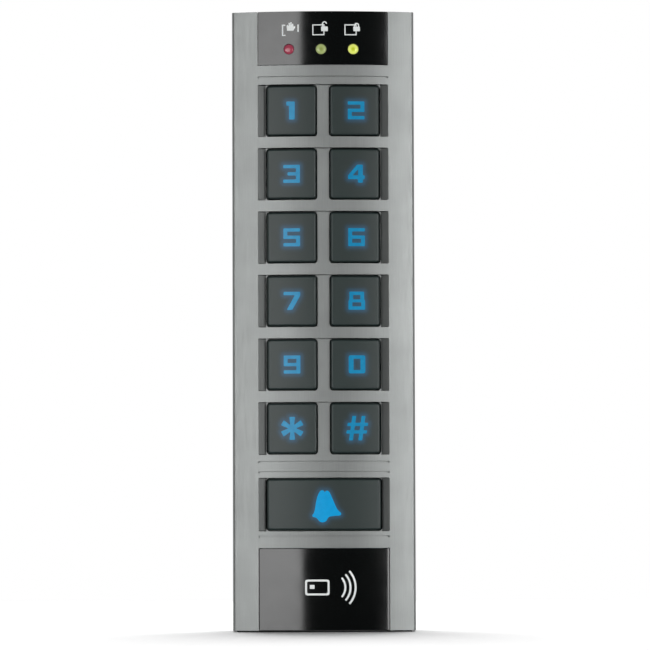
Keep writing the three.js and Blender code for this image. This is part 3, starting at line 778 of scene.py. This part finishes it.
figures = {
    "1": [eased([(0.85, h), (0.85, -h), (-0.6, -h), (-0.6, 1.25), (-1.3, 1.25), (-1.3, h)], ease)],
    "2": [eased(two, ease)],
    "3": [eased(three, ease)],
    "4": [
        eased([(0.2, h), (1.65, h), (1.65, -mid), (w, -mid), (w, -1.4), (1.65, -1.4), (1.65, -h),
               (0.4, -h), (0.4, -1.4), (-w, -1.4), (-w, -mid)], ease),
        eased([(0.45, 1.1), (-0.95, -mid), (0.45, -mid)], 0.08),
    ],
    "5": [eased([(-x, z) for x, z in two], ease)],
    "6": [eased(six, ease), eased(six_hole, 0.12)],
    "7": [
        eased([(-w, h), (w, h), (w, 1.3), (0.1, -h), (-1.3, -h), (0.75, h - bar), (-w, h - bar)], ease),
    ],
    "8": [
        eased(eight, ease),
        eased(box_outline(stem - w + 0.2, mid - 0.1, w - stem - 0.2, h - bar), 0.12),
        eased(box_outline(stem - w, bar - h, w - stem, -mid), 0.12),
    ],
    "9": [eased([(-x, -z) for x, z in six], ease), eased([(-x, -z) for x, z in six_hole], 0.12)],
    "0": [
        eased(box_outline(-w, -h, w, h), 0.5),
        eased(box_outline(1.25 - w, bar - h, w - 1.25, h - bar), 0.15),
    ],
    "star": [eased(star, 0.2)],
    "hash": [
        [(hash_widen * x + hash_slant * z, z) for x, z in eased(outline, 0.15)]
        for outline in (hash_grid, hash_hole)
    ],
    "bell": [eased(bell, 0.5)],
}
figure_shift = 0.4  # the right-hand column's figures stand a little right of the middle
figure_front, figure_back = 0.185, 0.6
figure_reach, figure_pitch = 6, 0.8
cloud_size = 1.2  # mm

# Blue diffuser behind clear resin: a blue light, faintly clouded. The bell's is the brightest, as it
# has a lamp of its own.
lit_blues = {}
for part, dim, bright in (("digits", "#0a6f9a", "#1f8ab4"), ("bell", "#008bc4", "#0b9bd6")):
    lit_blue, tree, surface = new_finish("backlit_blue_diffuser_" + part, "#06324a", 0.25, IOR=1.49)
    surface.inputs["Specular IOR Level"].default_value = 0.3
    place = add_node(tree, "ShaderNodeTexCoord").outputs["Object"]
    clouds = add_node(
        tree, "ShaderNodeTexNoise", {"Scale": 1 / (cloud_size * MM), "Detail": 2.0}, {0: place}
    ).outputs[0]
    blue = add_node(
        tree,
        "ShaderNodeMix",
        {"data_type": "RGBA", 6: linear(dim), 7: linear(bright)},
        {0: clouds},
    ).outputs[2]
    tree.links.new(blue, surface.inputs["Emission Color"])
    surface.inputs["Emission Strength"].default_value = 0.95
    lit_blues[part] = lit_blue

placed_figures = {}
for name, (x, z, _, _) in openings.items():
    shift = figure_shift if x > 1 else 0
    placed_figures[name] = [moved(outline, x + shift, z) for outline in figures[name]]
    bm = bmesh.new()
    inlay(bm, placed_figures[name], figure_front, figure_back)
    figure = new_object("figure_" + name, bm)
    slice_across(figure, 0, x - figure_reach, x + figure_reach, figure_pitch)
    bend(figure)
    figure.data.materials.append(lit_blues["bell" if name == "bell" else "digits"])
    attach(figure, "key_" + name)


# ---- Key caps -------------------------------------------------------------------------------------
# Each cap is moulded in slate ABS, with a satin face that follows the bow, a quarter-round edge, a
# flange that stops it behind the cover, and a stem over its dome.
key_gap = 0.35  # round a cap, in its opening
cap_corner = 0.7
cap_face = 0.2
cap_round, round_steps = 0.45, 4
cap_pitch = 0.5
flange_front = front_wall + wall_gap
flange_back = flange_front + 1.2
flange_corner = 1.95
stem_radius, stem_root = 2.0, 0.5
glow_reach = 0.75  # how far a figure's light spreads into the cap, in mm


def grained(name, dark, light, size, roughness, relief, metallic=0.0, **more):
    """A finish whose tone, roughness and relief vary with a grain; its size and relief are in mm."""
    made, tree, surface = new_finish(name, dark, roughness[0], metallic, **more)
    place = add_node(tree, "ShaderNodeTexCoord").outputs["Object"]
    grain = add_node(
        tree, "ShaderNodeTexNoise", {"Scale": 1 / (size * MM), "Detail": 2.0}, {0: place}
    ).outputs[0]
    tone = add_node(
        tree,
        "ShaderNodeMix",
        {"data_type": "RGBA", 6: linear(dark), 7: linear(light)},
        {0: grain},
    ).outputs[2]
    tree.links.new(tone, surface.inputs["Base Color"])
    gloss = add_node(
        tree,
        "ShaderNodeMapRange",
        {1: noise_low, 2: noise_high, 3: roughness[0], 4: roughness[1]},
        {0: grain},
    ).outputs[0]
    tree.links.new(gloss, surface.inputs["Roughness"])
    pits = add_node(tree, "ShaderNodeBump", {"Distance": relief * MM}, {"Height": grain}).outputs[0]
    tree.links.new(pits, surface.inputs["Normal"])
    return made, tree, surface


# Satin ABS: a fine spark-eroded grain that breaks up the gloss. The light from the figure bleeds a
# little way into the plastic round it.
satin_slate, tree, surface = grained(
    "satin_slate_abs", "#243130", "#2c3a38", 0.15, (0.34, 0.42), 0.0015, IOR=1.53
)
spread = add_node(tree, "ShaderNodeAttribute", {"attribute_name": "figure_light"}).outputs["Fac"]
bleed = add_node(tree, "ShaderNodeMath", {"operation": "MULTIPLY", 1: 0.35}, {0: spread}).outputs[0]
surface.inputs["Emission Color"].default_value = linear("#0f5f8c")
tree.links.new(bleed, surface.inputs["Emission Strength"])


def distance_to(outlines, x, z):
    """How far a point is from the nearest edge of the outlines."""
    nearest = math.inf
    for outline in outlines:
        for (ax, az), (bx, bz) in zip(outline, outline[1:] + outline[:1]):
            dx, dz = bx - ax, bz - az
            along = ((x - ax) * dx + (z - az) * dz) / (dx * dx + dz * dz + 1e-12)
            t = max(0, min(1, along))
            nearest = min(nearest, math.hypot(x - ax - t * dx, z - az - t * dz))
    return nearest


for name, (x, z, opening_width, opening_height) in openings.items():
    node = "key_" + name
    width, height = opening_width - 2 * key_gap, opening_height - 2 * key_gap
    flange = (opening_width + 2 * flange_reach, opening_height + 2 * flange_reach, flange_corner)
    layers = []
    for i in range(round_steps + 1):
        turn = math.radians(90 * i / round_steps)
        inset = cap_round * (1 - math.sin(turn))
        level = cap_face + cap_round * (1 - math.cos(turn))
        layers.append((width - 2 * inset, height - 2 * inset, cap_corner - inset, level))
    layers.append((width, height, cap_corner, flange_front))
    layers += [(*flange, flange_front), (*flange, flange_back)]
    bm = bmesh.new()
    loft(bm, x, z, layers)
    stem_tip = box_mm(node)[1].y + depth
    rod(bm, x, z, stem_radius, flange_back - stem_root, stem_tip, 4)
    cap = new_object("cap_" + name, bm)
    slice_across(cap, 0, x - width / 2, x + width / 2, cap_pitch)
    slice_across(cap, 2, z - height / 2, z + height / 2, cap_pitch)
    light = cap.data.attributes.new("figure_light", "FLOAT", "POINT")
    for vertex in cap.data.vertices:
        if vertex.co.y < cap_face + 0.01:
            away = distance_to(placed_figures[name], vertex.co.x, vertex.co.z)
            light.data[vertex.index].value = math.exp(-((away / glow_reach) ** 2))
    bend(cap)
    smooth(cap)
    cap.data.materials.append(satin_slate)
    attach(cap, node)
    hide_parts(node)


# ---- Keypad mat and lamps -------------------------------------------------------------------------
# A sheet of translucent white silicone rubber lies on the board, with a collapsing dome behind each
# key. Surface-mount lamps of clear resin shine through its windows and into the light pipes.
def dress(material, ease, *nodes):
    """Gives CAD nodes a material, and eases their edges by this radius in mm."""
    for node in nodes:
        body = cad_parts[node]
        body.material_slots[0].material = material
        edges = body.modifiers.new("eased_edges", "BEVEL")
        edges.width = ease * MM
        edges.segments = 2
        edges.limit_method = "ANGLE"
        edges.angle_limit = math.radians(40)


# Silicone: soft and matt, milky, with dust on it.
silicone, _, _ = grained(
    "milky_silicone_rubber", "#cfd4d4", "#e2e6e5", 0.6, (0.55, 0.7), 0.01, IOR=1.41
)
dress(silicone, 0.15, "keypad_mat")
lamp_tints = {
    "status_led_red": "#c22f48",
    "status_led_green": "#9bb35c",
    "status_led_yellow": "#d9e04e",
    **{f"backlight_led_{i}": "#3f9fdc" for i in range(1, 8)},
}
for node, tint in lamp_tints.items():
    # Cast epoxy: clear and glossy, tinted by the chip that glows in it.
    epoxy, _, surface = grained(f"cast_epoxy_{node}", tint, "#dfe3e2", 0.8, (0.08, 0.16), 0.002, IOR=1.55)
    surface.inputs["Emission Color"].default_value = linear(tint)
    surface.inputs["Emission Strength"].default_value = 1.2
    dress(epoxy, 0.08, node)


# ---- Main board -----------------------------------------------------------------------------------
# Glass-fibre laminate under green solder mask. The weave shows through the mask as a fine check, and
# the tracks under it as paler lines, in a plain repeating pattern. Four screws through it hold it to
# the cover's bosses.
solder_mask, tree, surface = grained(
    "green_solder_mask_on_glass_laminate", "#1d5431", "#23633a", 0.5, (0.3, 0.42), 0.004, IOR=1.52
)
place = add_node(tree, "ShaderNodeTexCoord").outputs["Object"]
weave_pitch = 0.8  # mm between threads; the real ones are 0.5 apart, and would not show
WAVE_PITCH = 0.314  # how far apart a wave texture's bands are at a scale of 1
threads = [
    add_node(
        tree,
        "ShaderNodeTexWave",
        {"wave_type": "BANDS", "bands_direction": way, "Scale": WAVE_PITCH / (weave_pitch * MM)},
        {0: place},
    ).outputs[1]
    for way in ("X", "Z")
]
weave = add_node(tree, "ShaderNodeMath", {"operation": "MULTIPLY"}, {0: threads[0], 1: threads[1]})
track_room = 3.2  # mm between groups of tracks
upright = add_node(
    tree,
    "ShaderNodeMapping",
    {"Rotation": (math.radians(90), 0, 0), "Scale": [1 / (track_room * MM)] * 3},
    {0: place},
).outputs[0]
tracks = add_node(
    tree,
    "ShaderNodeTexBrick",
    {"Scale": 1.0, "Mortar Size": 0.05, "Brick Width": 3.0, "Row Height": 0.6, "offset": 0.37},
    {0: upright},
).outputs[1]
laminate = add_node(
    tree,
    "ShaderNodeMix",
    {"data_type": "RGBA", 6: linear("#1b4f2e"), 7: linear("#27693f")},
    {0: weave.outputs[0]},
).outputs[2]
masked = add_node(
    tree, "ShaderNodeMix", {"data_type": "RGBA", 7: linear("#3b8a55")}, {0: tracks, 6: laminate}
).outputs[2]
tree.links.new(masked, surface.inputs["Base Color"])
dress(solder_mask, 0.1, "main_board")

# Zinc-plated steel: bright, with the faint haze of plating.
zinc, _, _ = grained("zinc_plated_steel", "#b4b8bc", "#cfd2d4", 0.3, (0.24, 0.36), 0.004, 1.0)
dress(zinc, 0.08, *[f"board_screw_{i}" for i in range(1, 5)], "cover_screw")


# ---- Packages on the board ------------------------------------------------------------------------
# The controller, the reader's chip and the regulator are moulded in black epoxy on tinned copper
# leads, soldered flat to the back of the board. The buzzer and the tamper switch have black cases.
lead_reach, body_clear = 1.0, 0.02  # how far the leads reach past the body
for node in ("microcontroller", "reader_chip", "voltage_regulator"):
    low, high = box_mm(node)
    # Moulding epoxy: dull black with a salt of glass filler, and bright leads outside the body.
    package, tree, surface = grained(
        "epoxy_package_" + node, "#1b1d1f", "#2a2d2f", 0.2, (0.5, 0.65), 0.006, IOR=1.55
    )
    place = add_node(tree, "ShaderNodeTexCoord").outputs["Object"]
    lead_start = (high.x - low.x) / 2 - lead_reach + body_clear
    across = add_node(tree, "ShaderNodeSeparateXYZ", links={0: place}).outputs[0]
    from_middle = add_node(
        tree, "ShaderNodeMath", {"operation": "SUBTRACT", 1: (low.x + high.x) / 2 * MM}, {0: across}
    ).outputs[0]
    outward = add_node(tree, "ShaderNodeMath", {"operation": "ABSOLUTE"}, {0: from_middle}).outputs[0]
    is_lead = add_node(
        tree, "ShaderNodeMath", {"operation": "GREATER_THAN", 1: lead_start * MM}, {0: outward}
    ).outputs[0]
    body_tone = surface.inputs["Base Color"].links[0].from_socket
    both = add_node(
        tree, "ShaderNodeMix", {"data_type": "RGBA", 7: linear("#c3c6c8")}, {0: is_lead, 6: body_tone}
    ).outputs[2]
    tree.links.new(both, surface.inputs["Base Color"])
    tree.links.new(is_lead, surface.inputs["Metallic"])
    dress(package, 0.06, node)

# Glass-filled PBT: an even semi-matt black.
black_case, _, _ = grained("moulded_black_pbt", "#17191a", "#222526", 0.25, (0.45, 0.6), 0.008, IOR=1.55)
dress(black_case, 0.15, "buzzer", "tamper_switch")


# ---- Capacitor and terminals ----------------------------------------------------------------------
# The supply capacitor is a drawn aluminium can on a moulded foot. The terminal block takes six wires
# from the side, each under a screw that is reached from behind.
# Drawn aluminium: bright, with the soft haze of drawing.
drawn_can, _, _ = grained(
    "drawn_aluminium_can", "#bfc3c6", "#d6d9db", 0.4, (0.25, 0.38), 0.004, 1.0
)
dress(drawn_can, 0.2, "supply_capacitor")

# Glass-filled polyamide: a flat green with a slight fleck.
polyamide, _, _ = grained(
    "glass_filled_green_polyamide", "#2a7342", "#35854f", 0.35, (0.5, 0.62), 0.01, IOR=1.53
)
dress(polyamide, 0.15, "terminal_block")


# ---- Tamper plunger and coil former ---------------------------------------------------------------
# Both are moulded in natural nylon. The base plate holds the plunger in, and springs it out when the
# reader is taken off its base. The former's groove carries the antenna.
nylon, _, _ = grained("natural_nylon", "#d8d4c8", "#e8e5db", 0.7, (0.4, 0.52), 0.008, IOR=1.53)
dress(nylon, 0.12, "tamper_plunger", "coil_former")


# ---- Antenna coil ---------------------------------------------------------------------------------
# Enamelled copper wire wound round the former, its turns side by side.
enamelled, tree, surface = grained(
    "enamelled_copper_wire", "#a85f33", "#c27a48", 0.3, (0.22, 0.3), 0.004, 1.0
)
place = add_node(tree, "ShaderNodeTexCoord").outputs["Object"]
wire_pitch, wire_relief = 0.25, 0.05  # mm
turns = add_node(
    tree,
    "ShaderNodeTexWave",
    {"wave_type": "BANDS", "bands_direction": "Y", "Scale": WAVE_PITCH / (wire_pitch * MM)},
    {0: place},
).outputs[1]
wound = add_node(tree, "ShaderNodeBump", {"Distance": wire_relief * MM}, {"Height": turns}).outputs[0]
tree.links.new(wound, surface.inputs["Normal"])
dress(enamelled, 0.1, "antenna_coil")


# ---- Seal and grommet -----------------------------------------------------------------------------
# Both are moulded in black EPDM. The seal is squeezed between the base's rim and the cover, and the
# grommet lines the cable's inlet in the plate.
epdm, _, _ = grained("black_epdm_rubber", "#1f2122", "#2e3132", 0.5, (0.75, 0.9), 0.02, IOR=1.5)
dress(epdm, 0.15, "case_seal", "cable_grommet")


# ---- Rear base ------------------------------------------------------------------------------------
# The black back plate, moulded in ABS with a rim inside the cover and a sole at its lower end. Its back
# is cored out between ribs, with pads round the two wall screws and the cable's inlet.
plate_low, plate_high = box_mm("rear_base")
plate_thickness = 2.4
plate_edge = 0.15
core_rows, core_depth, core_corner, core_draft = 8, 0.9, 1.5, 0.2
core_start = 0.3  # how far behind the plate a core's cutting solid starts
rib, border = 1.4, 2.6
core_width = (plate_high.x - border) - rib / 2 - border / 2
core_height = (plate_high.z - plate_low.z - 2 * border - (core_rows - 1) * rib) / core_rows
wall_holes = [(0, -60, 5.4, 2.2), (0, 60, 5.4, 2.2)]  # x, z, and the radius of the pad and the hole
inlet_low, inlet_high = box_mm("cable_grommet")
inlet_x, inlet_z = (inlet_low.x + inlet_high.x) / 2, (inlet_low.z + inlet_high.z) / 2
inlet_pad, inlet_seat, inlet_seat_depth, inlet_hole = 8.8, 7.2, 1.0, 5.5
pad_front = 0.5 - plate_thickness  # a pad is rooted this deep in the plate

base = bpy.data.objects.new("back_plate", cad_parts["rear_base"].data.copy())
scene.collection.objects.link(base)
base.data.transform(Matrix.Scale(1 / MM, 4))
bm = bmesh.new()
for row in range(core_rows):
    z = plate_low.z + border + core_height / 2 + row * (core_height + rib)
    for x in (-(core_width + rib) / 2, (core_width + rib) / 2):
        mouth = (core_width + core_draft, core_height + core_draft, core_corner, core_start)
        end = (core_width - core_draft, core_height - core_draft, core_corner, -core_depth)
        loft(bm, x, z, [mouth, end])
carve(base, bm)
bm = bmesh.new()
for x, z, pad, _ in wall_holes:
    rod(bm, x, z, pad, 0, pad_front)
rod(bm, inlet_x, inlet_z, inlet_pad, 0, pad_front)
carve(base, bm, "UNION")
bm = bmesh.new()
for x, z, _, hole in wall_holes:
    rod(bm, x, z, hole, 1, -plate_thickness - 1)
rod(bm, inlet_x, inlet_z, inlet_seat, 1, -inlet_seat_depth)
carve(base, bm)
bm = bmesh.new()
rod(bm, inlet_x, inlet_z, inlet_hole, 1, -plate_thickness - 1)
carve(base, bm)
soften(base, plate_edge, 2, lambda a, b: max(a.y, b.y) > -plate_thickness - 0.1, 35)
base.data.transform(Matrix.Scale(MM, 4))
smooth(base)

# Spark-eroded ABS: an even fine grain that keeps the black from shining.
eroded_black, _, _ = grained(
    "spark_eroded_black_abs", "#141617", "#1f2223", 0.35, (0.5, 0.66), 0.02, IOR=1.53
)
base.data.materials.clear()
base.data.materials.append(eroded_black)
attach(base, "case")
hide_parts("rear_base")


low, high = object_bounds()
